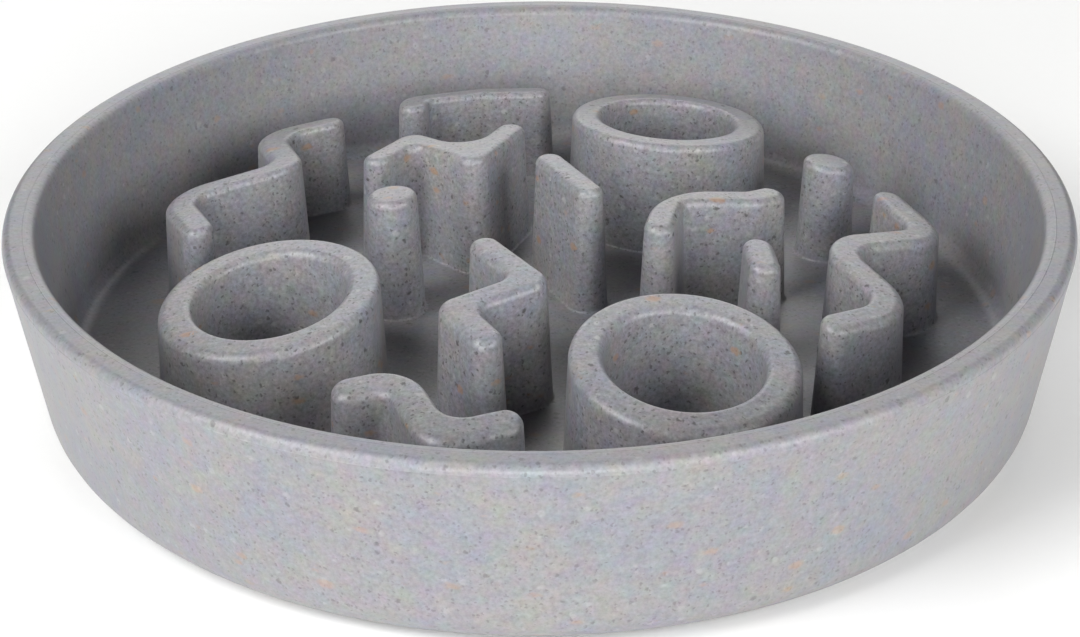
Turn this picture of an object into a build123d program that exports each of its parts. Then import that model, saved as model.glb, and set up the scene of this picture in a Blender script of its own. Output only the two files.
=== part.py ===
from build123d import *
import math
import os

# Slow feeder bowl: a round, flat-floored dish with rings, pegs and bent walls standing on its floor.
# Millimetres, +Z up. The origin is on the table, under the middle of the bowl.
# +X is to the right of the photograph and +Y goes away from its viewer.

# Driving dimensions of the dish
rim_diameter = 280.0
rim_height = 54.0
rim_width = 8.2
rim_outer_radius = 2.4
rim_inner_radius = 2.5
rim_land = 0.3
outer_draft_angle = 8.5
inner_draft_angle = 7.2
floor_thickness = 8.0
base_corner_radius = 9.2
floor_corner_radius = 5.0

# Underside of the dish: a standing ring round a shallow recess
standing_ring_width = 20.0
recess_depth = 3.0
recess_edge_radius = 1.4

# Non-slip feet, pressed into sockets in the standing ring
foot_count = 6
foot_diameter = 14.0
foot_stand = 1.0
foot_socket_depth = 1.5
foot_edge_radius = 0.6

# Obstacles: their tops lie on one shallow dome, highest over the middle of the floor
crown_drop = 5.5
crown_radius = 550.0
obstacle_draft_angle = 2.5
obstacle_edge_radius = 2.2
wall_foot_width = 11.0
ring_middle_radius = 24.0
peg_foot_diameter = 16.5
edge_channel = 14.4

# Sizes that follow from these
rim_radius = rim_diameter / 2
dish_bottom = foot_stand
recess_top = dish_bottom + recess_depth
floor_height = recess_top + floor_thickness
parting_height = rim_height - rim_outer_radius - rim_land
base_radius = rim_radius - (parting_height - dish_bottom) * math.tan(math.radians(outer_draft_angle))
rim_inside = rim_radius - rim_width
floor_radius = rim_inside - (rim_height - floor_height) * math.tan(math.radians(inner_draft_angle))
standing_ring_outside = base_radius - base_corner_radius
recess_radius = standing_ring_outside - standing_ring_width
foot_circle = standing_ring_outside - standing_ring_width / 2
crown_height = rim_height - crown_drop
draft_inset = crown_height * math.tan(math.radians(obstacle_draft_angle))

# Centres of the rings and pegs
ring_places = {
    "ring_left": (-68.4, -38.5),
    "ring_front": (34.8, -72.3),
    "ring_back": (38.1, 71.7),
}

peg_places = {
    "peg_left": (-39.9, 10.8),
    "peg_right": (82.5, 44.6),
}

# Corners of each wall's centreline, from end to end. A bend also has its inner and outer radius at the foot.
wall_places = {
    "wall_rear": [
        (-37.8, 88.1),
        (-38.0, 95.3, 2.6, 8.9),
        (-17.8, 101.1, 6.5, 13.5),
        (-0.9, 100.9),
    ],
    "wall_back_zigzag": [
        (-45.4, 39.7),
        (-36.4, 53.4, 1.5, 6.7),
        (-18.3, 35.6, 6.2, 6.0),
        (-8.3, 59.0),
    ],
    "wall_left_zigzag": [
        (-62.6, 77.9),
        (-80.1, 70.3, 6.7, 14.4),
        (-70.5, 41.0, 4.5, 11.4),
        (-102.2, 27.4, 4.2, 15.8),
        (-92.5, 4.9),
    ],
    "wall_centre_bar": [
        (3.1, 32.9),
        (13.3, 11.8),
    ],
    "wall_centre_zigzag": [
        (-14.0, -21.1),
        (-1.6, -39.3, 2.3, 6.9),
        (-21.4, -51.1, 2.8, 6.6),
        (-13.4, -63.9),
    ],
    "wall_right_hook": [
        (31.6, -9.1),
        (35.3, 7.6, 1.5, 22.8),
        (58.3, 11.5, 6.5, 13.5),
        (62.8, 15.0),
    ],
    "wall_short_bar": [
        (57.0, -17.8),
        (57.8, -26.5),
    ],
    "wall_right_zigzag": [
        (97.0, 22.9),
        (105.9, 1.6, 3.5, 13.5),
        (76.5, -12.7, 5.4, 15.0),
        (91.7, -41.6, 6.1, 16.9),
        (73.9, -52.1),
    ],
    "wall_front_wave": [
        (-45.3, -81.9),
        (-33.7, -79.4, 4.0, 14.5),
        (-24.1, -100.9, 5.7, 11.1),
        (-8.3, -96.4),
    ],
}

# The layout moves in or out with the floor, and the outermost wall keeps a clear channel beside it
layout_reach = max(math.hypot(*corner[:2]) for corners in wall_places.values() for corner in corners)
spread = floor_radius / (layout_reach + wall_foot_width / 2 + edge_channel)


def rounded_corner(profile, corner, radius):
    """Round the corner of a flat profile that lies nearest to a point."""
    nearest = profile.vertices().sort_by_distance(Vector(*corner))[0]
    return fillet(nearest, radius)


def foot_places():
    """Centres of the feet, evenly spaced round the standing ring."""
    return PolarLocations(foot_circle, foot_count, start_angle=180 / foot_count)


def dish():
    """Turned dish with its rim, floor, standing ring and foot sockets."""
    rounded = [
        ((recess_radius, recess_top), recess_edge_radius),
        ((recess_radius, dish_bottom), recess_edge_radius),
        ((base_radius, dish_bottom), base_corner_radius),
        ((rim_radius, rim_height), rim_outer_radius),
        ((rim_inside, rim_height), rim_inner_radius),
        ((floor_radius, floor_height), floor_corner_radius),
    ]
    corners = [corner for corner, radius in rounded]
    corners.insert(3, (rim_radius, parting_height))
    profile = make_face(Polyline((0, recess_top), *corners, (0, floor_height), close=True))
    for corner, radius in rounded:
        profile = rounded_corner(profile, corner, radius)
    body = revolve(Plane.XZ * profile, Axis.Z)
    socket = Cylinder(foot_diameter / 2, foot_socket_depth, align=(Align.CENTER, Align.CENTER, Align.MIN))
    for spot in foot_places():
        body -= Pos(0, 0, dish_bottom) * spot * socket
    return body


def foot():
    """One rubber foot, standing on the table and filling its socket."""
    height = foot_stand + foot_socket_depth
    body = Cylinder(foot_diameter / 2, height, align=(Align.CENTER, Align.CENTER, Align.MIN))
    return fillet(body.edges().group_by(Axis.Z)[0], foot_edge_radius)


def crown():
    """Space under the dome that the obstacles fill, up to a paraboloid round the bowl's axis."""
    sag = rim_radius**2 / (2 * crown_radius)
    ruler = [(-rim_radius, -sag), (0, sag), (rim_radius, -sag)]
    net = [[Vector(x, y, crown_height + rise_x + rise_y) for y, rise_y in ruler] for x, rise_x in ruler]
    return extrude(Face.make_bezier_surface(net), amount=crown_height, dir=(0, 0, -1))


def crowned(body):
    """Cut an obstacle off at the dome and round its top edge."""
    body = body & crown()
    top = body.faces().sort_by(Axis.Z)[-1]
    return fillet(top.edges(), obstacle_edge_radius)


def on_floor(spot):
    """Point of the floor that a place of the layout stands for."""
    return Vector(spot[0] * spread, spot[1] * spread, floor_height)


def drafted_round(radius, inset):
    """Round block on the floor that draws in on its way up, or opens where the inset is negative."""
    return Cone(radius, radius - inset, crown_height, align=(Align.CENTER, Align.CENTER, Align.MIN))


def ring(centre):
    """Round wall of the walls' foot width."""
    outside = drafted_round(ring_middle_radius + wall_foot_width / 2, draft_inset)
    inside = drafted_round(ring_middle_radius - wall_foot_width / 2, -draft_inset)
    return crowned(Pos(on_floor(centre)) * (outside - inside))


def peg(centre):
    """Round peg."""
    return crowned(Pos(on_floor(centre)) * drafted_round(peg_foot_diameter / 2, draft_inset))


def left_of(heading):
    """Unit direction to the left of a heading."""
    return heading.normalized().rotate(Axis.Z, 90)


def sharp_side(points, headings, reach):
    """One side of a wall before its bends are rounded, to the left of the centreline or at a negative reach."""
    line = [points[0] + left_of(headings[0]) * reach]
    for point, before, after in zip(points[1:-1], headings, headings[1:]):
        half_turn = math.radians(before.get_angle(after) / 2)
        line.append(point + left_of(before + after) * reach / math.cos(half_turn))
    return line + [points[-1] + left_of(headings[-1]) * reach]


def with_room(line, tangents):
    """Lengths that the bends take from a side's runs, cut back where two bends have no room in their run."""
    shares = []
    for index in range(len(line) - 1):
        usable = 0.98 * (line[index + 1] - line[index]).length
        shares.append(usable / max(usable, tangents[index] + tangents[index + 1]))
    return [length * min(pair) for length, pair in zip(tangents[1:-1], zip(shares, shares[1:]))]


def wall_side(corners, side, inset):
    """Spots along one side of a wall: its two ends, and the start, middle and end of each bend."""
    points = [on_floor(corner) for corner in corners]
    headings = [(end - start).normalized() for start, end in zip(points, points[1:])]
    line = sharp_side(points, headings, side * (wall_foot_width / 2 - inset))
    half_turns = [math.radians(before.get_angle(after) / 2) for before, after in zip(headings, headings[1:])]
    tangents = [0]
    for corner, half_turn, before, after in zip(corners[1:-1], half_turns, headings, headings[1:]):
        inner, outer = (radius * spread for radius in corner[2:])
        inside = left_of(before).dot(after) * side > 0
        radius = inner + inset if inside else outer - inset
        tangents.append(radius * math.tan(half_turn))
    lengths = with_room(line, tangents + [0])
    spots = [line[0]]
    for tip, length, half_turn, before, after in zip(line[1:], lengths, half_turns, headings, headings[1:]):
        across = (after - before).normalized()
        spots.append(tip - before * length)
        spots.append(tip + across * length * math.tan(half_turn / 2))
        spots.append(tip + after * length)
    return spots + [line[-1]]


def wall_outline(corners, inset):
    """Band along a wall's centreline, drawn in by an inset, with rounded bends and round ends."""
    left, right = (wall_side(corners, side, inset) for side in (1, -1))
    edges = []
    for line in (left, right):
        edges += [Line(line[index], line[index + 1]) for index in range(0, len(line), 3)]
        edges += [ThreePointArc(*line[index : index + 3]) for index in range(1, len(line) - 1, 3)]
    for index, turn in ((0, 90), (-1, -90)):
        middle = (left[index] + right[index]) * 0.5
        tip = middle + (left[index] - right[index]).rotate(Axis.Z, turn) * 0.5
        edges.append(ThreePointArc(left[index], tip, right[index]))
    return make_face(edges)


def wall(corners):
    """Drafted wall along a centreline."""
    foot_outline = wall_outline(corners, 0)
    head_outline = Pos(0, 0, crown_height) * wall_outline(corners, draft_inset)
    return crowned(loft([foot_outline, head_outline], ruled=True))


def save(part, name):
    """Write one sub-part under its own name."""
    part.label = name
    export_step(part, os.path.join("parts", name + ".step"))


os.makedirs("parts", exist_ok=True)

save(dish(), "dish")
for name, centre in ring_places.items():
    save(ring(centre), name)
for name, centre in peg_places.items():
    save(peg(centre), name)
for name, corners in wall_places.items():
    save(wall(corners), name)
for number, spot in enumerate(foot_places(), start=1):
    save(spot * foot(), f"foot_{number}")
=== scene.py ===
import math

import bmesh
import bpy
from bpy.props import FloatProperty, FloatVectorProperty, IntProperty, PointerProperty
from mathutils import Matrix, Vector


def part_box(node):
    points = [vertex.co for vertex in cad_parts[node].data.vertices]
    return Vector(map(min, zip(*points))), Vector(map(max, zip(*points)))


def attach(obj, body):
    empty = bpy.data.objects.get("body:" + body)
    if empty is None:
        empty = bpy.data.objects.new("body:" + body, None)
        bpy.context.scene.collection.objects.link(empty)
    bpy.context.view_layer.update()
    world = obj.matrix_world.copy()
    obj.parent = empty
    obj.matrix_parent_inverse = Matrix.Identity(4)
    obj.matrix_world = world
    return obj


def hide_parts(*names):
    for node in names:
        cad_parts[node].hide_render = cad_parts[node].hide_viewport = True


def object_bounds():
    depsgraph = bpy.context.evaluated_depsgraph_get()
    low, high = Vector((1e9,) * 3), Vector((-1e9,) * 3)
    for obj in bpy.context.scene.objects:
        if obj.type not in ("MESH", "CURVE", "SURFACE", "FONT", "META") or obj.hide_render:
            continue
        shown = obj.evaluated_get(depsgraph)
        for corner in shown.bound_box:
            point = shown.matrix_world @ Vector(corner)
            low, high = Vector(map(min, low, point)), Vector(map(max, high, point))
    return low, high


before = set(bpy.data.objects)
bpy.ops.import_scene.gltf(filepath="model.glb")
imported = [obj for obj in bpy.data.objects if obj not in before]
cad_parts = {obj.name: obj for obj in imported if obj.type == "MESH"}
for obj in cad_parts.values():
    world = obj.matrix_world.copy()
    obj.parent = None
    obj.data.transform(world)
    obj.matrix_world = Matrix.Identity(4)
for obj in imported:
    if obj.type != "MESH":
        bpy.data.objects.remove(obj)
CAD_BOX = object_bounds()

bl_info = {
    "name": "Slow feeder bowl",
    "version": (1, 0, 0),
    "blender": (4, 5, 0),
    "location": "View3D > Sidebar > Bowl",
    "description": "Builds a speckled slow feeder bowl with its rings, pegs, walls and feet, and its stage",
    "category": "Add Mesh",
}

MM = 0.001
BODY = "root"
COMPOSITE = "speckled_composite"
RUBBER = "foot_rubber"

# Points nearer than the gap become one, and only edges past the angle stay sharp
MERGE_GAP = 0.008 * MM
SHARP_ANGLE = math.radians(38)

# A share of a sheet's columns below this counts as none
NO_SHARE = 0.001

# Sockets of a Mix node, by number because their names repeat: both inputs and the output
VECTOR_A, VECTOR_B, VECTOR_MIX = 4, 5, 1
COLOUR_A, COLOUR_B, COLOUR_MIX = 6, 7, 2

# Two copies of one composite, with how strongly grit and grain show, how light the mix is
# and how dull its skin. Their grit and lightness paint light and shade: the dish's copy shows its
# grit less, as bright light washes it out on the walls, and the obstacles' copy shows it more and is
# a little lighter, a painted lift for the shade inside the bowl. The obstacles' copy is also a little
# glossier
DISH_BRIGHT_LIGHT_COPY = {"name": "husk_composite_painted_bright_light", "gritty": 0.85, "light": 1.0, "dull": 0.42}
OBSTACLE_SHADE_COPY = {"name": "husk_composite_painted_shade", "gritty": 1.45, "light": 1.06, "dull": 0.38}

# Sizes of the composite's clouds, tints, grain and skin in millimetres, and how far flakes fray.
# The real grain and skin are too fine to show, so they are drawn as coarse as they need to.
CLOUD_SIZE, TINT_SIZE, GRAIN_SIZE, SKIN_SIZE, FRAY = 20.0, 4.2, 1.1, 1.3, 1.6

# Solids that the pieces stand for
RINGS = ("ring_left", "ring_front", "ring_back")
PEGS = ("peg_left", "peg_right")
FEET = tuple(f"foot_{number}" for number in range(1, 7))

# Corners of the walls' centrelines in millimetres from the bowl's axis: +X to the right,
# +Y away from the viewer. A bend also has its inner and outer radius at the floor.
WALLS = {
    "wall_rear": [(-37.8, 88.1), (-38.0, 95.3, 2.6, 8.9), (-17.8, 101.1, 6.5, 13.5), (-0.9, 100.9)],
    "wall_back_zigzag": [(-45.4, 39.7), (-36.4, 53.4, 1.5, 6.7), (-18.3, 35.6, 6.2, 6.0), (-8.3, 59.0)],
    "wall_left_zigzag": [(-62.6, 77.9), (-80.1, 70.3, 6.7, 14.4), (-70.5, 41.0, 4.5, 11.4),
                         (-102.2, 27.4, 4.2, 15.8), (-92.5, 4.9)],
    "wall_centre_bar": [(3.1, 32.9), (13.3, 11.8)],
    "wall_centre_zigzag": [(-14.0, -21.1), (-1.6, -39.3, 2.3, 6.9), (-21.4, -51.1, 2.8, 6.6),
                           (-13.4, -63.9)],
    "wall_right_hook": [(31.6, -9.1), (35.3, 7.6, 1.5, 22.8), (58.3, 11.5, 6.5, 13.5), (62.8, 15.0)],
    "wall_short_bar": [(57.0, -17.8), (57.8, -26.5)],
    "wall_right_zigzag": [(97.0, 22.9), (105.9, 1.6, 3.5, 13.5), (76.5, -12.7, 5.4, 15.0),
                          (91.7, -41.6, 6.1, 16.9), (73.9, -52.1)],
    "wall_front_wave": [(-45.3, -81.9), (-33.7, -79.4, 4.0, 14.5), (-24.1, -100.9, 5.7, 11.1),
                        (-8.3, -96.4)],
}

# Rows of faces over an obstacle's section, from the middle of its underside to the middle of its top
SECTION = {"under": 3, "sink": 1, "root": 5, "side": 8, "edge": 9, "top": 4}

# Softboxes: bearing to the right of the viewer and height angle in degrees, side in metres, watts
SOFTBOXES = {
    "front_softbox": (0, 10, 1.0, 28.0),
    "left_softbox": (-50, 25, 1.0, 12.0),
    "left_high_softbox": (-60, 45, 1.0, 22.0),
    "right_softbox": (50, 25, 1.0, 21.0),
    "back_softbox": (180, 25, 1.6, 17.0),
}
SOFTBOX_DISTANCE, SOFTBOX_AIM = 1.8, Vector((0.0, 0.0, 0.03))
ROOM_LIGHT = 0.02
FLOOR_REACH = 6.0

# The place in metres, the tilt and roll in degrees, and the lens and sensor width in millimetres
# that give the photograph's view of the rim and the rings
CAMERA_PLACE = (0.0, -0.5529, 0.3134)
CAMERA_TILT, CAMERA_ROLL = 61.564, -0.361
LENS, SENSOR_WIDTH = 76.66, 36.0


def linear(code):
    """Linear colour with alpha from an sRGB hex value."""
    shares = [int(code[place : place + 2], 16) / 255 for place in (1, 3, 5)]
    return (*(s / 12.92 if s <= 0.04045 else ((s + 0.055) / 1.055) ** 2.4 for s in shares), 1.0)


def length(name, description, default):
    """Settings shared by the lengths below, with the default in millimetres."""
    return {"name": name, "description": description, "default": default * MM, "min": 0.0,
            "unit": "LENGTH", "subtype": "DISTANCE", "precision": 5}


def steps(name, description, default):
    """Settings shared by the numbers of faces below."""
    return {"name": name, "description": description, "default": default, "min": 1}


def colour(name, description, code):
    """Settings shared by the colours below."""
    return {"name": name, "description": description, "default": linear(code), "size": 4,
            "min": 0.0, "max": 1.0, "subtype": "COLOR"}


class BowlSizes(bpy.types.PropertyGroup):
    """Sizes of the bowl, as in its solids."""

    rim_radius: FloatProperty(
        **length("Rim radius", "Largest radius, at the parting line", CAD_BOX[1].x / MM))
    rim_height: FloatProperty(
        **length("Rim height", "Height of the rim over the table", CAD_BOX[1].z / MM))
    rim_width: FloatProperty(**length("Rim width", "Width of the rim seen from above", 8.2))
    rim_outer_round: FloatProperty(**length("Rim outer round", "Rounding of the rim's outer edge", 2.4))
    rim_inner_round: FloatProperty(**length("Rim inner round", "Rounding of the rim's inner edge", 2.5))
    parting_drop: FloatProperty(**length("Parting line drop", "Parting line below the rim's top", 2.7))
    mould_line: FloatProperty(**length("Mould line", "Height of the lines that the mould leaves", 0.07))
    mould_line_inset: FloatProperty(
        **length("Mould line inset", "Mould line from the rim's inner edge", 2.65))
    base_radius: FloatProperty(
        **length("Base radius", "Radius of the outer wall carried down to the base", 132.48))
    base_round: FloatProperty(**length("Base round", "Rounding between outer wall and base", 9.2))
    floor_radius: FloatProperty(
        **length("Floor radius", "Radius of the inner wall carried down to the floor", 126.49))
    floor_height: FloatProperty(
        **length("Floor height", "Height of the bowl's floor over the table", 12.0))
    floor_round: FloatProperty(**length("Floor round", "Rounding between inner wall and floor", 5.0))
    recess_radius: FloatProperty(
        **length("Recess radius", "Radius of the recess in the underside", 103.28))
    recess_height: FloatProperty(
        **length("Recess height", "Height of the recess's ceiling over the table", 4.0))
    recess_round: FloatProperty(**length("Recess round", "Rounding of the recess's edges", 1.4))
    foot_radius: FloatProperty(**length("Foot radius", "Radius of a rubber foot", 7.0))
    foot_stand: FloatProperty(**length("Foot stand", "Height of the feet below the base", 1.0))
    foot_seat: FloatProperty(**length("Foot seat", "Depth of a foot in the base", 0.4))
    foot_round: FloatProperty(**length("Foot round", "Rounding of a foot's lower edge", 0.6))
    foot_circle: FloatProperty(
        **length("Foot circle", "Radius of the circle that the feet stand on", 113.28))
    crown_height: FloatProperty(
        **length("Crown height", "Height of the obstacles' dome over the bowl's axis", 48.5))
    crown_radius: FloatProperty(
        **length("Crown radius", "Radius of the dome that the obstacles end at", 550.0))
    wall_width: FloatProperty(**length("Wall width", "Width of walls and rings at the floor", 11.0))
    ring_radius: FloatProperty(
        **length("Ring radius", "Radius of a ring along the middle of its wall", 24.0))
    peg_width: FloatProperty(**length("Peg width", "Diameter of a peg at the floor", 16.5))
    edge_round: FloatProperty(**length("Edge round", "Rounding of the obstacles' top edges", 2.2))
    root_round: FloatProperty(
        **length("Root round", "Rounding where the obstacles meet the floor", 0.7))
    sink: FloatProperty(
        **length("Sink", "Depth to which an obstacle's mesh reaches into the floor", 0.4))
    draft: FloatProperty(
        name="Draft", description="Lean of the obstacles' sides", default=math.radians(2.5),
        unit="ROTATION", subtype="ANGLE")
    turn_steps: IntProperty(**steps("Turn steps", "Faces once round the dish", 288))
    bend_steps: IntProperty(**steps("Bend steps", "Faces round each rounding of the dish", 8))
    foot_turn_steps: IntProperty(**steps("Foot turn steps", "Faces once round a foot", 64))
    foot_bend_steps: IntProperty(**steps("Foot bend steps", "Faces round each rounding of a foot", 5))
    wall_steps: IntProperty(**steps("Wall steps", "Faces round each bend of a wall", 32))
    end_steps: IntProperty(**steps("End steps", "Faces round each end of a wall", 24))


class BowlColours(bpy.types.PropertyGroup):
    """Colours of the bowl and its stage."""

    cool: FloatVectorProperty(**colour("Cool grey", "Bluish part of the composite", "#7E7F86"))
    warm: FloatVectorProperty(**colour("Warm grey", "Sandy part of the composite", "#848282"))
    speck: FloatVectorProperty(**colour("Specks", "Dark grit in the composite", "#3A3736"))
    husk: FloatVectorProperty(**colour("Husks", "Tan husk flakes in the composite", "#A57B52"))
    pale: FloatVectorProperty(**colour("Pale flakes", "Pale fibres in the composite", "#ABACAB"))
    rubber: FloatVectorProperty(**colour("Rubber", "Feet", "#3A3A3B"))
    floor: FloatVectorProperty(**colour("Floor", "Floor of the stage", "#FBFBFA"))


def add(tree, kind, links=None, **settings):
    """Add a node with its settings, and link or fill its inputs."""
    node = tree.nodes.new(kind)
    for name, value in settings.items():
        setattr(node, name, value)
    for key, value in (links or {}).items():
        if isinstance(value, bpy.types.Node):
            value = value.outputs[0]
        if isinstance(value, bpy.types.NodeSocket):
            tree.links.new(value, node.inputs[key])
        else:
            node.inputs[key].default_value = value
    return node


def new_tree(name, inputs):
    """Empty geometry tree with named inputs and one geometry output."""
    tree = bpy.data.node_groups.new(name, "GeometryNodeTree")
    tree.is_modifier = True
    for label, kind in inputs.items():
        tree.interface.new_socket(label, in_out="INPUT", socket_type="NodeSocket" + kind)
    tree.interface.new_socket("Geometry", in_out="OUTPUT", socket_type="NodeSocketGeometry")
    return tree, tree.nodes.new("NodeGroupInput").outputs


def turned_tree():
    """Tree that rounds a profile's corners, turns it round the Z axis and sets copies on a circle."""
    tree, given = new_tree("turned_piece", {
        "Profile": "Geometry", "Corner Steps": "Int", "Turn Steps": "Int", "Copies": "Int",
        "Circle Radius": "Float", "First Angle": "Float", "Material": "Material",
    })

    # The profile with its corners rounded
    line = add(tree, "GeometryNodeMeshToCurve", {"Mesh": given["Profile"]})
    radius = add(tree, "GeometryNodeInputNamedAttribute", {"Name": "corner_radius"}, data_type="FLOAT")
    line = add(tree, "GeometryNodeFilletCurve", {
        "Curve": line, "Radius": radius, "Count": given["Corner Steps"], "Limit Radius": True}, mode="POLY")
    size = add(tree, "GeometryNodeAttributeDomainSize", {"Geometry": line}, component="CURVE")
    points = size.outputs["Point Count"]

    # A sheet with a row of faces for each step of the profile, bent round the axis and closed
    columns = add(tree, "ShaderNodeMath", {0: given["Turn Steps"], 1: 1.0}, operation="ADD")
    sheet = add(tree, "GeometryNodeMeshGrid", {
        "Size X": 1.0, "Size Y": 1.0, "Vertices X": columns, "Vertices Y": points})
    spot = add(tree, "GeometryNodeInputPosition")
    spot = add(tree, "ShaderNodeVectorMath", {0: spot, 1: (0.5, 0.5, 0.0)}, operation="ADD")
    share = add(tree, "ShaderNodeSeparateXYZ", {0: spot})
    last = add(tree, "ShaderNodeMath", {0: points, 1: 1.0}, operation="SUBTRACT")
    row = add(tree, "ShaderNodeMath", {0: share.outputs["Y"], 1: last}, operation="MULTIPLY")
    row = add(tree, "ShaderNodeMath", {0: row}, operation="ROUND")
    place = add(tree, "GeometryNodeInputPosition")
    place = add(tree, "GeometryNodeSampleIndex", {"Geometry": line, "Value": place, "Index": row},
                data_type="FLOAT_VECTOR", domain="POINT")
    angle = add(tree, "ShaderNodeMath", {0: share.outputs["X"], 1: math.tau}, operation="MULTIPLY")
    place = add(tree, "ShaderNodeVectorRotate", {"Vector": place, "Angle": angle}, rotation_type="Z_AXIS")
    shell = add(tree, "GeometryNodeSetPosition", {"Geometry": sheet, "Position": place})
    shell = add(tree, "GeometryNodeMergeByDistance", {"Geometry": shell, "Distance": MERGE_GAP})

    # Copies on a circle
    row_of_points = add(tree, "GeometryNodeMeshLine", {"Count": given["Copies"]})
    pitch = add(tree, "ShaderNodeMath", {0: math.tau, 1: given["Copies"]}, operation="DIVIDE")
    number = add(tree, "GeometryNodeInputIndex")
    bearing = add(tree, "ShaderNodeMath", {0: number, 1: pitch, 2: given["First Angle"]},
                  operation="MULTIPLY_ADD")
    reach = add(tree, "ShaderNodeCombineXYZ", {"X": given["Circle Radius"]})
    reach = add(tree, "ShaderNodeVectorRotate", {"Vector": reach, "Angle": bearing}, rotation_type="Z_AXIS")
    circle = add(tree, "GeometryNodeSetPosition", {"Geometry": row_of_points, "Position": reach})
    copies = add(tree, "GeometryNodeInstanceOnPoints", {"Points": circle, "Instance": shell})
    whole = add(tree, "GeometryNodeRealizeInstances", {"Geometry": copies})
    painted = add(tree, "GeometryNodeSetMaterial", {"Geometry": whole, "Material": given["Material"]})
    add(tree, "NodeGroupOutput", {0: painted})
    return tree


def dome_over(tree, given, spot):
    """Nodes for the height of the obstacles' dome over a spot of the floor."""
    square = add(tree, "ShaderNodeVectorMath", {0: spot, 1: spot}, operation="DOT_PRODUCT")
    fall = add(tree, "ShaderNodeMath", {0: -0.5, 1: given["Crown Radius"]}, operation="DIVIDE")
    return add(tree, "ShaderNodeMath", {0: square.outputs["Value"], 1: fall, 2: given["Crown Height"]},
               operation="MULTIPLY_ADD")


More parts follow.
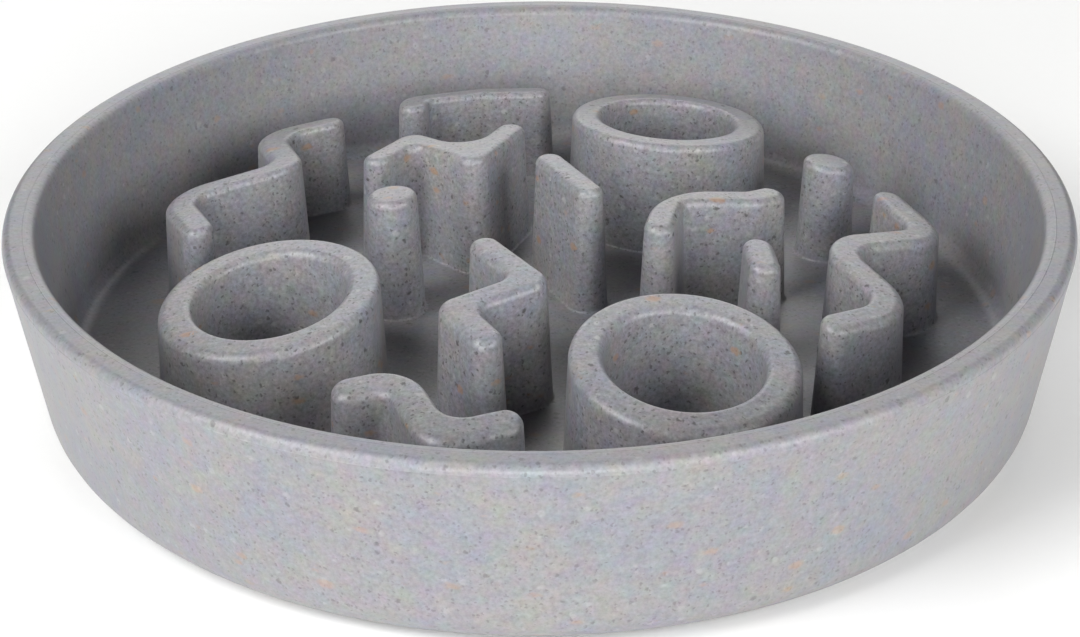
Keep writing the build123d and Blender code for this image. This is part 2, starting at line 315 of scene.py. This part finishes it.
def obstacle_tree():
    """Tree that raises a drafted wall with round ends and edges between its two sides, up to the dome."""
    tree, given = new_tree("drafted_obstacle", {
        "Sides": "Geometry", "Width": "Float", "Floor Height": "Float", "Crown Height": "Float",
        "Crown Radius": "Float", "Draft": "Float", "Edge Round": "Float", "Root Round": "Float",
        "Sink": "Float", "Closed": "Bool", "Steps Round Bend": "Int", "Steps Round End": "Int",
        "Material": "Material",
    })
    ends = given["Steps Round End"]
    floor, edge, root = given["Floor Height"], given["Edge Round"], given["Root Round"]

    # The left and the right side with their bends, which have the same number of points and of steps
    lines = add(tree, "GeometryNodeMeshToCurve", {"Mesh": given["Sides"]})
    radius = add(tree, "GeometryNodeInputNamedAttribute", {"Name": "corner_radius"}, data_type="FLOAT")
    bent = add(tree, "GeometryNodeFilletCurve", {
        "Curve": lines, "Radius": radius, "Count": given["Steps Round Bend"], "Limit Radius": True,
    }, mode="POLY")
    lines = add(tree, "GeometryNodeSwitch", {"Switch": given["Closed"], "False": bent, "True": lines},
                input_type="GEOMETRY")
    size = add(tree, "GeometryNodeAttributeDomainSize", {"Geometry": lines}, component="CURVE")
    points = add(tree, "ShaderNodeMath", {0: size.outputs["Point Count"], 1: 0.5}, operation="MULTIPLY")
    along = add(tree, "ShaderNodeMath", {0: points, 1: 1.0}, operation="SUBTRACT")
    along = add(tree, "ShaderNodeMath", {0: along, 1: given["Closed"]}, operation="ADD")

    # A sheet of faces: its columns go along one side, round one end, back and round the other end
    rows = sum(SECTION.values())
    half = add(tree, "ShaderNodeMath", {0: along, 1: ends}, operation="ADD")
    second = add(tree, "ShaderNodeMath", {0: half, 1: along}, operation="ADD")
    whole = add(tree, "ShaderNodeMath", {0: second, 1: ends}, operation="ADD")
    columns = add(tree, "ShaderNodeMath", {0: whole, 1: 1.0}, operation="ADD")
    sheet = add(tree, "GeometryNodeMeshGrid", {
        "Size X": 1.0, "Size Y": 1.0, "Vertices X": columns, "Vertices Y": rows + 1})
    spot = add(tree, "GeometryNodeInputPosition")
    spot = add(tree, "ShaderNodeVectorMath", {0: spot, 1: (0.5, 0.5, 0.0)}, operation="ADD")
    share = add(tree, "ShaderNodeSeparateXYZ", {0: spot})
    column = add(tree, "ShaderNodeMath", {0: share.outputs["X"], 1: whole}, operation="MULTIPLY")
    stretches = []
    for start, end in ((0.0, along), (along, half), (half, second), (second, whole)):
        stretches.append(add(tree, "ShaderNodeMapRange", {
            "Value": column, "From Min": start, "From Max": end}))
    going, first_end, coming, last_end = stretches

    # Closed sides have no ends, so the ends' faces go
    in_ends = []
    for end in (first_end, last_end):
        rest = add(tree, "ShaderNodeMath", {0: 1.0, 1: end}, operation="SUBTRACT")
        in_ends.append(add(tree, "ShaderNodeMath", {0: end, 1: rest}, operation="MULTIPLY"))
    in_ends = add(tree, "ShaderNodeMath", {0: in_ends[0], 1: in_ends[1]}, operation="ADD")
    in_ends = add(tree, "ShaderNodeMath", {0: in_ends, 1: NO_SHARE}, operation="GREATER_THAN")
    needless = add(tree, "ShaderNodeMath", {0: in_ends, 1: given["Closed"]}, operation="MULTIPLY")
    sheet = add(tree, "GeometryNodeDeleteGeometry", {"Geometry": sheet, "Selection": needless},
                domain="FACE")

    # Each column's point on the left side, the point opposite on the right side, and both tangents
    factor = add(tree, "ShaderNodeMath", {0: going, 1: coming}, operation="SUBTRACT")
    number = add(tree, "ShaderNodeMath", {0: factor, 1: along}, operation="MULTIPLY")
    number = add(tree, "ShaderNodeMath", {0: number}, operation="ROUND")
    number = add(tree, "ShaderNodeMath", {0: number, 1: points}, operation="MODULO")
    opposite = add(tree, "ShaderNodeMath", {0: number, 1: points}, operation="ADD")
    spots, tangents = {}, {}
    for found, kind in ((spots, "GeometryNodeInputPosition"), (tangents, "GeometryNodeInputTangent")):
        for socket, point in ((VECTOR_A, number), (VECTOR_B, opposite)):
            found[socket] = add(tree, "GeometryNodeSampleIndex", {
                "Geometry": lines, "Value": add(tree, kind), "Index": point,
            }, data_type="FLOAT_VECTOR", domain="POINT")

    # The middle between both sides, the way in which the column faces, and its spot round the foot
    on_right = add(tree, "ShaderNodeMath", {0: first_end, 1: last_end}, operation="SUBTRACT")
    turns = add(tree, "ShaderNodeMath", {0: first_end, 1: last_end}, operation="ADD")
    angle = add(tree, "ShaderNodeMath", {0: turns, 1: -math.pi, 2: math.pi / 2}, operation="MULTIPLY_ADD")
    middle = add(tree, "ShaderNodeMix", {0: 0.5, **spots}, data_type="VECTOR").outputs[VECTOR_MIX]
    beside = add(tree, "ShaderNodeMix", {0: on_right, **spots}, data_type="VECTOR").outputs[VECTOR_MIX]
    heading = add(tree, "ShaderNodeMix", {0: on_right, **tangents}, data_type="VECTOR").outputs[VECTOR_MIX]
    facing = add(tree, "ShaderNodeVectorRotate", {"Vector": heading, "Angle": angle}, rotation_type="Z_AXIS")
    half_width = add(tree, "ShaderNodeMath", {0: given["Width"], 1: 0.5}, operation="MULTIPLY")
    round_end = add(tree, "ShaderNodeVectorMath", {0: facing, "Scale": half_width}, operation="SCALE")
    round_end = add(tree, "ShaderNodeVectorMath", {0: round_end, 1: middle}, operation="ADD")
    foot = add(tree, "ShaderNodeMix", {0: in_ends, VECTOR_A: beside, VECTOR_B: round_end},
               data_type="VECTOR").outputs[VECTOR_MIX]

    # Each row's share of the parts of the section
    part, reached = {}, 0
    for name, count in SECTION.items():
        part[name] = {
            "Value": share.outputs["Y"], "From Min": reached / rows, "From Max": (reached + count) / rows}
        reached += count
    under = add(tree, "ShaderNodeMapRange", part["under"])
    sunk = add(tree, "ShaderNodeMapRange", {**part["sink"], "To Min": given["Sink"], "To Max": 0.0})
    root_angle = add(tree, "ShaderNodeMapRange", {**part["root"], "To Min": math.pi / 2, "To Max": 0.0})
    edge_share = add(tree, "ShaderNodeMapRange", part["edge"])
    edge_angle = add(tree, "ShaderNodeMath", {0: edge_share, 1: math.pi / 2}, operation="MULTIPLY")
    top = add(tree, "ShaderNodeMapRange", {**part["top"], "To Min": 1.0, "To Max": 0.0})

    # The drafted side, between the rounding at the floor and the rounding under the dome
    lean = add(tree, "ShaderNodeMath", {0: given["Draft"]}, operation="TANGENT")
    lean = add(tree, "ShaderNodeMath", {0: lean, 1: -1.0}, operation="MULTIPLY")
    rise = add(tree, "ShaderNodeMath", {0: dome_over(tree, given, foot), 1: floor}, operation="SUBTRACT")
    head = add(tree, "ShaderNodeMath", {0: rise, 1: lean}, operation="MULTIPLY")
    head = add(tree, "ShaderNodeVectorMath", {0: facing, "Scale": head}, operation="SCALE")
    head = add(tree, "ShaderNodeVectorMath", {0: head, 1: foot}, operation="ADD")
    side_dome = dome_over(tree, given, head)
    low = add(tree, "ShaderNodeMath", {0: floor, 1: root}, operation="ADD")
    high = add(tree, "ShaderNodeMath", {0: side_dome, 1: edge}, operation="SUBTRACT")
    side = add(tree, "ShaderNodeMapRange", {**part["side"], "To Min": low, "To Max": high})
    rise = add(tree, "ShaderNodeMath", {0: side, 1: floor}, operation="SUBTRACT")
    reach = add(tree, "ShaderNodeMath", {0: rise, 1: lean}, operation="MULTIPLY")

    # How far both roundings go out or in, and up or down
    height = add(tree, "ShaderNodeMath", {0: side, 1: sunk}, operation="SUBTRACT")
    roundings = ((root_angle, root, "ADD", "SUBTRACT"), (edge_angle, edge, "SUBTRACT", "ADD"))
    for turn, radius, out, up in roundings:
        cosine = add(tree, "ShaderNodeMath", {0: turn}, operation="COSINE")
        cosine = add(tree, "ShaderNodeMath", {0: 1.0, 1: cosine}, operation="SUBTRACT")
        shift = add(tree, "ShaderNodeMath", {0: cosine, 1: radius}, operation="MULTIPLY")
        reach = add(tree, "ShaderNodeMath", {0: reach, 1: shift}, operation=out)
        sine = add(tree, "ShaderNodeMath", {0: turn}, operation="SINE")
        shift = add(tree, "ShaderNodeMath", {0: sine, 1: radius}, operation="MULTIPLY")
        height = add(tree, "ShaderNodeMath", {0: height, 1: shift}, operation=up)

    # Every point in its place, with underside and top closed along the middle and the top on the dome
    place = add(tree, "ShaderNodeVectorMath", {0: facing, "Scale": reach}, operation="SCALE")
    place = add(tree, "ShaderNodeVectorMath", {0: place, 1: foot}, operation="ADD")
    spread = add(tree, "ShaderNodeMath", {0: under, 1: top}, operation="MULTIPLY")
    place = add(tree, "ShaderNodeMix", {0: spread, VECTOR_A: middle, VECTOR_B: place},
                data_type="VECTOR").outputs[VECTOR_MIX]
    over = add(tree, "ShaderNodeMath", {0: dome_over(tree, given, place), 1: side_dome},
               operation="SUBTRACT")
    height = add(tree, "ShaderNodeMath", {0: over, 1: edge_share, 2: height}, operation="MULTIPLY_ADD")
    height = add(tree, "ShaderNodeCombineXYZ", {"Z": height})
    place = add(tree, "ShaderNodeVectorMath", {0: place, 1: height}, operation="ADD")
    shell = add(tree, "GeometryNodeSetPosition", {"Geometry": sheet, "Position": place})
    shell = add(tree, "GeometryNodeMergeByDistance", {"Geometry": shell, "Distance": MERGE_GAP})
    whole = add(tree, "GeometryNodeRealizeInstances", {"Geometry": shell})
    painted = add(tree, "GeometryNodeSetMaterial", {"Geometry": whole, "Material": given["Material"]})
    add(tree, "NodeGroupOutput", {0: painted})
    return tree


def shaped(name, lines, closed, tree, values):
    """Plain mesh piece that a tree makes from lines of points, each with its rounding, in millimetres."""
    points, edges = [], []
    for line in lines:
        first, count = len(points), len(line)
        points += line
        joined = range(count if closed else count - 1)
        edges += [(first + index, first + (index + 1) % count) for index in joined]
    drawn = bpy.data.meshes.new(name)
    drawn.from_pydata([Vector(point[:3]) * MM for point in points], edges, [])
    radii = [point[3] * MM for point in points]
    drawn.attributes.new("corner_radius", "FLOAT", "POINT").data.foreach_set("value", radii)
    piece = bpy.data.objects.new(name, drawn)
    bpy.context.scene.collection.objects.link(piece)
    modifier = piece.modifiers.new("form", "NODES")
    modifier.node_group = tree
    for socket in tree.interface.items_tree:
        if socket.in_out == "INPUT" and socket.name in values:
            modifier[socket.identifier] = values[socket.name]
    bpy.context.view_layer.update()
    mesh = bpy.data.meshes.new_from_object(piece.evaluated_get(bpy.context.evaluated_depsgraph_get()))
    piece.modifiers.remove(modifier)
    piece.data = mesh
    bpy.data.meshes.remove(drawn)
    mesh.name = name
    close_and_smooth(piece)
    return piece


def close_and_smooth(piece):
    """Turn a piece's faces outwards and smooth them, and stop if it has an open edge."""
    mesh = piece.data
    work = bmesh.new()
    work.from_mesh(mesh)
    bmesh.ops.dissolve_degenerate(work, dist=MERGE_GAP / 4, edges=work.edges)
    bmesh.ops.recalc_face_normals(work, faces=work.faces)
    gaps = sum(not edge.is_manifold for edge in work.edges)
    work.to_mesh(mesh)
    work.free()
    if gaps or not mesh.polygons:
        raise RuntimeError(f"{piece.name} isn't closed: {gaps} open edges, {len(mesh.polygons)} faces")
    mesh.shade_smooth()
    mesh.set_sharp_from_angle(angle=SHARP_ANGLE)


def middle_of(node):
    """Middle of a solid seen from above, in millimetres."""
    low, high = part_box(node)
    return (low.x + high.x) / 2 / MM, (low.y + high.y) / 2 / MM


def on_bowl(piece, slot, *nodes):
    """Let a piece stand for solids of the bowl and move with them."""
    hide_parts(*nodes)
    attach(piece, BODY)


def turned(name, profile, values):
    """Piece that a profile of radius, height and rounding gives when it turns round the Z axis."""
    tree = bpy.data.node_groups.get("turned_piece") or turned_tree()
    line = [(radius / MM, 0.0, height / MM, rounding / MM) for radius, height, rounding in profile]
    return shaped(name, [line], False, tree, values)


def obstacle(name, sides, closed, width, end_steps):
    """One obstacle on the bowl's floor between its left and right side, in place of its solid."""
    sizes = bpy.context.scene.bowl_sizes
    tree = bpy.data.node_groups.get("drafted_obstacle") or obstacle_tree()
    # The obstacles take the composite's copy with painted shade: grit shown more strongly and a lighter mix
    piece = shaped(name + "_form", sides, closed, tree, {
        "Width": width, "Floor Height": sizes.floor_height, "Crown Height": sizes.crown_height,
        "Crown Radius": sizes.crown_radius, "Draft": sizes.draft, "Edge Round": sizes.edge_round,
        "Root Round": sizes.root_round, "Sink": sizes.sink, "Closed": closed,
        "Steps Round Bend": sizes.wall_steps, "Steps Round End": end_steps,
        "Material": composite(**OBSTACLE_SHADE_COPY),
    })
    on_bowl(piece, COMPOSITE, name)


def wall_sides(corners, reach):
    """Left and right side of a wall at the floor: corners with the radius of their bend."""
    points = [Vector(corner[:2]) for corner in corners]
    headings = [(end - start).normalized() for start, end in zip(points, points[1:])]
    arriving, leaving = headings[:1] + headings, headings + headings[-1:]
    sides = ([], [])
    for corner, point, before, after in zip(corners, points, arriving, leaving):
        inner, outer = corner[2:] or (0.0, 0.0)
        ahead = (before + after).normalized()
        across = Vector((-ahead.y, ahead.x)) * reach / ahead.dot(before)
        left_turn = before.cross(after) > 0
        sides[0].append((*(point + across), 0.0, inner if left_turn else outer))
        sides[1].append((*(point - across), 0.0, outer if left_turn else inner))
    return sides


def new_material(name):
    """Empty node material."""
    material = bpy.data.materials.new(name)
    material.use_nodes = True
    material.node_tree.nodes.clear()
    return material, material.node_tree


def composite(name, gritty, light, dull):
    """Plant fibre composite, moulded: a satin sheen, clouded greys, dark grit and tan husks."""
    if name in bpy.data.materials:
        return bpy.data.materials[name]
    colours = bpy.context.scene.bowl_colours
    material, tree = new_material(name)

    # Object coordinates in millimetres, and the same with a wobble that frays the flakes' edges
    spot = add(tree, "ShaderNodeTexCoord").outputs["Object"]
    spot = add(tree, "ShaderNodeVectorMath", {0: spot, "Scale": 1 / MM}, operation="SCALE")
    wobble = add(tree, "ShaderNodeTexNoise", {"Vector": spot, "Scale": 1 / GRAIN_SIZE, "Detail": 2.0})
    wobble = add(tree, "ShaderNodeVectorMath", {0: wobble.outputs["Color"], 1: (0.5, 0.5, 0.5)},
                 operation="SUBTRACT")
    wobble = add(tree, "ShaderNodeVectorMath", {0: wobble, "Scale": FRAY}, operation="SCALE")
    frayed = add(tree, "ShaderNodeVectorMath", {0: spot, 1: wobble}, operation="ADD")

    # Clouds of cool and warm grey, with faint tints
    clouds = add(tree, "ShaderNodeTexNoise", {
        "Vector": spot, "Scale": 1 / CLOUD_SIZE, "Detail": 4.0, "Roughness": 0.6})
    clouds = add(tree, "ShaderNodeMapRange", {"Value": clouds, "From Min": 0.36, "From Max": 0.64})
    paint = add(tree, "ShaderNodeMix", {
        0: clouds, COLOUR_A: tuple(colours.cool), COLOUR_B: tuple(colours.warm)}, data_type="RGBA")
    tint = add(tree, "ShaderNodeTexNoise", {
        "Vector": spot, "Scale": 1 / TINT_SIZE, "Detail": 3.0, "Roughness": 0.6})
    paint = add(tree, "ShaderNodeMix", {
        0: 0.25, COLOUR_A: paint.outputs[COLOUR_MIX], COLOUR_B: tint.outputs["Color"],
    }, data_type="RGBA", blend_type="SOFT_LIGHT")

    # Grain that makes the paint lighter and darker
    grain = add(tree, "ShaderNodeTexNoise", {
        "Vector": spot, "Scale": 1 / GRAIN_SIZE, "Detail": 3.0, "Roughness": 0.65})
    # gritty and light differ between the copies as painted light and shade: grit shown less where bright
    # light washes it out, more and with a lighter mix in the shade
    swing = 0.24 * gritty
    tone = add(tree, "ShaderNodeMapRange", {
        "Value": grain, "From Min": 0.25, "From Max": 0.75, "To Min": light - swing, "To Max": light + swing})
    paint = add(tree, "ShaderNodeHueSaturation", {"Color": paint.outputs[COLOUR_MIX], "Value": tone})
    paint = paint.outputs[0]

    # Flakes in the mix: spacing, share of the places that hold one, largest radius and soft edge
    # in millimetres, colour, strength, and how densely they are packed along X, Y and Z
    flakes = (
        (3.5, 0.45, 0.7, 0.5, colours.pale, 0.3, (1.0, 1.0, 1.0)),
        (1.1, 0.75, 0.3, 0.24, colours.speck, 0.42, (1.0, 1.0, 1.0)),
        (4.0, 0.5, 0.55, 0.35, colours.speck, 0.5, (1.0, 1.0, 1.0)),
        (5.8, 0.5, 1.1, 0.8, colours.husk, 0.32, (0.6, 1.0, 1.2)),
    )
    grit = None
    # gritty also scales the flakes, as part of the copies' painted light and shade
    for spacing, share, radius, soft, shade, strength, packing in flakes:
        near = add(tree, "ShaderNodeVectorMath", {0: frayed, 1: packing}, operation="MULTIPLY")
        cells = add(tree, "ShaderNodeTexVoronoi", {"Vector": near, "Scale": 1 / spacing})
        draw = add(tree, "ShaderNodeSeparateColor", {0: cells.outputs["Color"]})
        reach = add(tree, "ShaderNodeMapRange", {
            "Value": draw.outputs[0], "From Min": 1 - share, "From Max": 1.0,
            "To Min": -soft / spacing, "To Max": radius / spacing})
        outer = add(tree, "ShaderNodeMath", {0: reach, 1: soft / spacing}, operation="ADD")
        inside = add(tree, "ShaderNodeMapRange", {
            "Value": cells.outputs["Distance"], "From Min": outer, "From Max": reach,
            "To Max": strength * gritty})
        paint = add(tree, "ShaderNodeMix", {0: inside, COLOUR_A: paint, COLOUR_B: tuple(shade)},
                    data_type="RGBA").outputs[COLOUR_MIX]
        grit = inside if grit is None else add(tree, "ShaderNodeMath", {0: grit, 1: inside}, operation="ADD")

    # A skin that is a little uneven to the touch
    sheen = add(tree, "ShaderNodeMapRange", {
        "Value": grain, "From Min": 0.3, "From Max": 0.7, "To Min": dull - 0.06, "To Max": dull + 0.06})
    skin = add(tree, "ShaderNodeTexNoise", {
        "Vector": spot, "Scale": 1 / SKIN_SIZE, "Detail": 3.0, "Roughness": 0.6})
    skin = add(tree, "ShaderNodeMath", {0: grit, 1: 0.3, 2: skin}, operation="MULTIPLY_ADD")
    bump = add(tree, "ShaderNodeBump", {"Strength": 0.45, "Distance": 0.1 * MM, "Height": skin})
    shader = add(tree, "ShaderNodeBsdfPrincipled", {
        "Base Color": paint, "Roughness": sheen, "IOR": 1.5, "Normal": bump})
    add(tree, "ShaderNodeOutputMaterial", {"Surface": shader})
    return material


def foot_rubber():
    """Natural rubber, moulded: dark and dull, with a fine grain and a trace of dust."""
    dust_size, grain_size = 3.0 * MM, 0.5 * MM
    colours = bpy.context.scene.bowl_colours
    material, tree = new_material("moulded_foot_rubber")
    spot = add(tree, "ShaderNodeTexCoord").outputs["Object"]
    dust = add(tree, "ShaderNodeTexNoise", {"Vector": spot, "Scale": 1 / dust_size, "Detail": 5.0})
    tone = add(tree, "ShaderNodeMapRange", {
        "Value": dust, "From Min": 0.3, "From Max": 0.75, "To Min": 0.85, "To Max": 1.5})
    paint = add(tree, "ShaderNodeHueSaturation", {"Color": tuple(colours.rubber), "Value": tone})
    dull = add(tree, "ShaderNodeMapRange", {
        "Value": dust, "From Min": 0.3, "From Max": 0.7, "To Min": 0.68, "To Max": 0.85})
    grain = add(tree, "ShaderNodeTexNoise", {"Vector": spot, "Scale": 1 / grain_size, "Detail": 2.0})
    bump = add(tree, "ShaderNodeBump", {"Strength": 0.3, "Distance": 0.06 * MM, "Height": grain})
    shader = add(tree, "ShaderNodeBsdfPrincipled", {
        "Base Color": paint, "Roughness": dull, "IOR": 1.52, "Normal": bump})
    add(tree, "ShaderNodeOutputMaterial", {"Surface": shader})
    return material


def studio_paper():
    """Matt paper roll: pale, dull, with a hardly visible grain, drawn coarser than real paper's."""
    grain_size = 3.333 * MM
    colours = bpy.context.scene.bowl_colours
    material, tree = new_material("matt_studio_paper")
    spot = add(tree, "ShaderNodeTexCoord").outputs["Object"]
    grain = add(tree, "ShaderNodeTexNoise", {"Vector": spot, "Scale": 1 / grain_size, "Detail": 2.0})
    tone = add(tree, "ShaderNodeMapRange", {"Value": grain, "To Min": 0.985, "To Max": 1.0})
    paint = add(tree, "ShaderNodeHueSaturation", {"Color": tuple(colours.floor), "Value": tone})
    shader = add(tree, "ShaderNodeBsdfPrincipled", {"Base Color": paint, "Roughness": 0.9})
    add(tree, "ShaderNodeOutputMaterial", {"Surface": shader})
    return material


class BOWL_OT_dish(bpy.types.Operator):
    """Turn the dish with its rim, mould lines, floor and standing ring"""

    bl_idname = "bowl.dish"
    bl_label = "Dish"

    def execute(self, context):
        s = context.scene.bowl_sizes
        ridge, edge = s.mould_line, s.rim_radius - s.rim_width
        low, top, part = s.foot_stand, s.rim_height - ridge, s.rim_height - s.parting_drop
        inset = edge + s.mould_line_inset
        profile = [
            (0.0, s.recess_height, 0.0),
            (s.recess_radius / 2, s.recess_height, 0.0),
            (s.recess_radius, s.recess_height, s.recess_round),
            (s.recess_radius, low, s.recess_round),
            (s.base_radius - ridge, low, s.base_round),
            (s.rim_radius - ridge, part - 2 * ridge, ridge),
            (s.rim_radius, part - ridge, ridge),
            (s.rim_radius, part + ridge, ridge),
            (s.rim_radius - ridge, part + 2 * ridge, ridge),
            (s.rim_radius - ridge, top, s.rim_outer_round),
            (inset + 3 * ridge, top, ridge),
            (inset + ridge, s.rim_height, ridge),
            (inset - ridge, s.rim_height, ridge),
            (inset - 3 * ridge, top, ridge),
            (edge, top, s.rim_inner_round),
            (s.floor_radius, s.floor_height, s.floor_round),
            (s.floor_radius * 0.66, s.floor_height, 0.0),
            (s.floor_radius * 0.33, s.floor_height, 0.0),
            (0.0, s.floor_height, 0.0),
        ]
        # The dish takes the composite's copy with painted bright light: grit shown less strongly
        piece = turned("dish_form", profile, {
            "Corner Steps": s.bend_steps, "Turn Steps": s.turn_steps, "Copies": 1, "Circle Radius": 0.0,
            "First Angle": 0.0, "Material": composite(**DISH_BRIGHT_LIGHT_COPY),
        })
        on_bowl(piece, COMPOSITE, "dish")
        return {"FINISHED"}


class BOWL_OT_rings(bpy.types.Operator):
    """Stand the three round rings on the floor"""

    bl_idname = "bowl.rings"
    bl_label = "Rings"

    def execute(self, context):
        s = context.scene.bowl_sizes
        radii = [(s.ring_radius + way * s.wall_width / 2) / MM for way in (-1, 1)]
        count = 4 * s.wall_steps
        turns = [math.tau * index / count for index in range(count)]
        for name in RINGS:
            x, y = middle_of(name)
            circles = [[(x + r * math.cos(a), y + r * math.sin(a), 0.0, 0.0) for a in turns] for r in radii]
            obstacle(name, circles, True, s.wall_width, 1)
        return {"FINISHED"}


class BOWL_OT_pegs(bpy.types.Operator):
    """Stand the two round pegs on the floor"""

    bl_idname = "bowl.pegs"
    bl_label = "Pegs"

    def execute(self, context):
        s = context.scene.bowl_sizes
        # A peg is a wall that is hardly longer than a point
        dot, reach = 2 * MERGE_GAP / MM, s.peg_width / 2 / MM
        for name in PEGS:
            x, y = middle_of(name)
            sides = wall_sides([(x - dot, y), (x + dot, y)], reach)
            obstacle(name, sides, False, s.peg_width, 2 * s.end_steps)
        return {"FINISHED"}


class BOWL_OT_walls(bpy.types.Operator):
    """Stand the straight and bent walls on the floor"""

    bl_idname = "bowl.walls"
    bl_label = "Walls"

    def execute(self, context):
        s = context.scene.bowl_sizes
        for name, corners in WALLS.items():
            obstacle(name, wall_sides(corners, s.wall_width / 2 / MM), False, s.wall_width, s.end_steps)
        return {"FINISHED"}


class BOWL_OT_feet(bpy.types.Operator):
    """Set the rubber feet under the standing ring"""

    bl_idname = "bowl.feet"
    bl_label = "Feet"

    def execute(self, context):
        s = context.scene.bowl_sizes
        lip = s.foot_radius - 3 * s.foot_round
        top = s.foot_stand + s.foot_seat
        dimple = s.foot_round / 2
        profile = [
            (0.0, dimple, 0.0),
            (lip - dimple, dimple, dimple),
            (lip, 0.0, dimple),
            (s.foot_radius, 0.0, s.foot_round),
            (s.foot_radius, top, 0.0),
            (0.0, top, 0.0),
        ]
        piece = turned("feet_form", profile, {
            "Corner Steps": s.foot_bend_steps, "Turn Steps": s.foot_turn_steps, "Copies": len(FEET),
            "Circle Radius": s.foot_circle, "First Angle": math.pi / len(FEET), "Material": foot_rubber(),
        })
        on_bowl(piece, RUBBER, *FEET)
        return {"FINISHED"}


class BOWL_OT_stage(bpy.types.Operator):
    """Lay the pale floor, set the soft lights and stand the camera at the photograph's angle"""

    bl_idname = "bowl.stage"
    bl_label = "Stage"

    def execute(self, context):
        scene = context.scene
        corners = [(x * FLOOR_REACH, y * FLOOR_REACH, 0) for x, y in ((-1, -1), (1, -1), (1, 1), (-1, 1))]
        sheet = bpy.data.meshes.new("floor")
        sheet.from_pydata(corners, [], [(0, 1, 2, 3)])
        sheet.materials.append(studio_paper())
        floor = bpy.data.objects.new("floor", sheet)
        scene.collection.objects.link(floor)

        # Softboxes round the bowl, and a trace of light from the room
        for name, (bearing, height, side, power) in SOFTBOXES.items():
            lamp = bpy.data.lights.new(name, "AREA")
            lamp.size, lamp.energy = side, power
            box = bpy.data.objects.new(name, lamp)
            round_bowl = Matrix.Rotation(math.radians(bearing), 3, "Z")
            upwards = Matrix.Rotation(math.radians(-height), 3, "X")
            box.location = round_bowl @ upwards @ Vector((0.0, -SOFTBOX_DISTANCE, 0.0))
            box.rotation_euler = (SOFTBOX_AIM - box.location).to_track_quat("-Z", "Y").to_euler()
            box.visible_camera = False
            scene.collection.objects.link(box)
        world = bpy.data.worlds.new("studio")
        world.use_nodes = True
        world.node_tree.nodes.clear()
        back = add(world.node_tree, "ShaderNodeBackground", {
            "Color": (1.0, 1.0, 1.0, 1.0), "Strength": ROOM_LIGHT})
        add(world.node_tree, "ShaderNodeOutputWorld", {"Surface": back})
        scene.world = world

        lens = bpy.data.cameras.new("photo_camera")
        lens.sensor_fit, lens.sensor_width, lens.lens = "HORIZONTAL", SENSOR_WIDTH, LENS
        lens.clip_start, lens.clip_end = 0.01, 20.0
        camera = bpy.data.objects.new("photo_camera", lens)
        tilt = Matrix.Rotation(math.radians(CAMERA_TILT), 4, "X")
        roll = Matrix.Rotation(math.radians(CAMERA_ROLL), 4, "Z")
        camera.matrix_world = Matrix.Translation(CAMERA_PLACE) @ tilt @ roll
        scene.collection.objects.link(camera)
        scene.camera = camera
        scene.view_settings.view_transform = "Standard"
        return {"FINISHED"}


class BOWL_PT_panel(bpy.types.Panel):
    """Sidebar panel with the bowl's pieces, sizes and colours"""

    bl_label = "Slow feeder bowl"
    bl_idname = "BOWL_PT_panel"
    bl_space_type = "VIEW_3D"
    bl_region_type = "UI"
    bl_category = "Bowl"

    def draw(self, context):
        layout = self.layout
        for operator in OPERATORS:
            layout.operator(operator.bl_idname)
        for group in (context.scene.bowl_sizes, context.scene.bowl_colours):
            box = layout.box()
            for name in group.__annotations__:
                box.prop(group, name)


OPERATORS = (BOWL_OT_dish, BOWL_OT_rings, BOWL_OT_pegs, BOWL_OT_walls, BOWL_OT_feet, BOWL_OT_stage)
CLASSES = (BowlSizes, BowlColours, *OPERATORS, BOWL_PT_panel)


def register():
    """Register the classes, and give the scene the bowl's sizes and colours."""
    for cls in CLASSES:
        bpy.utils.register_class(cls)
    bpy.types.Scene.bowl_sizes = PointerProperty(type=BowlSizes)
    bpy.types.Scene.bowl_colours = PointerProperty(type=BowlColours)


def unregister():
    """Take back what register gave."""
    del bpy.types.Scene.bowl_colours
    del bpy.types.Scene.bowl_sizes
    for cls in reversed(CLASSES):
        bpy.utils.unregister_class(cls)


def main():
    """Build the bowl and its stage."""
    register()
    bpy.ops.bowl.dish()
    bpy.ops.bowl.rings()
    bpy.ops.bowl.pegs()
    bpy.ops.bowl.walls()
    bpy.ops.bowl.feet()
    bpy.ops.bowl.stage()


if __name__ == "__main__":
    main()
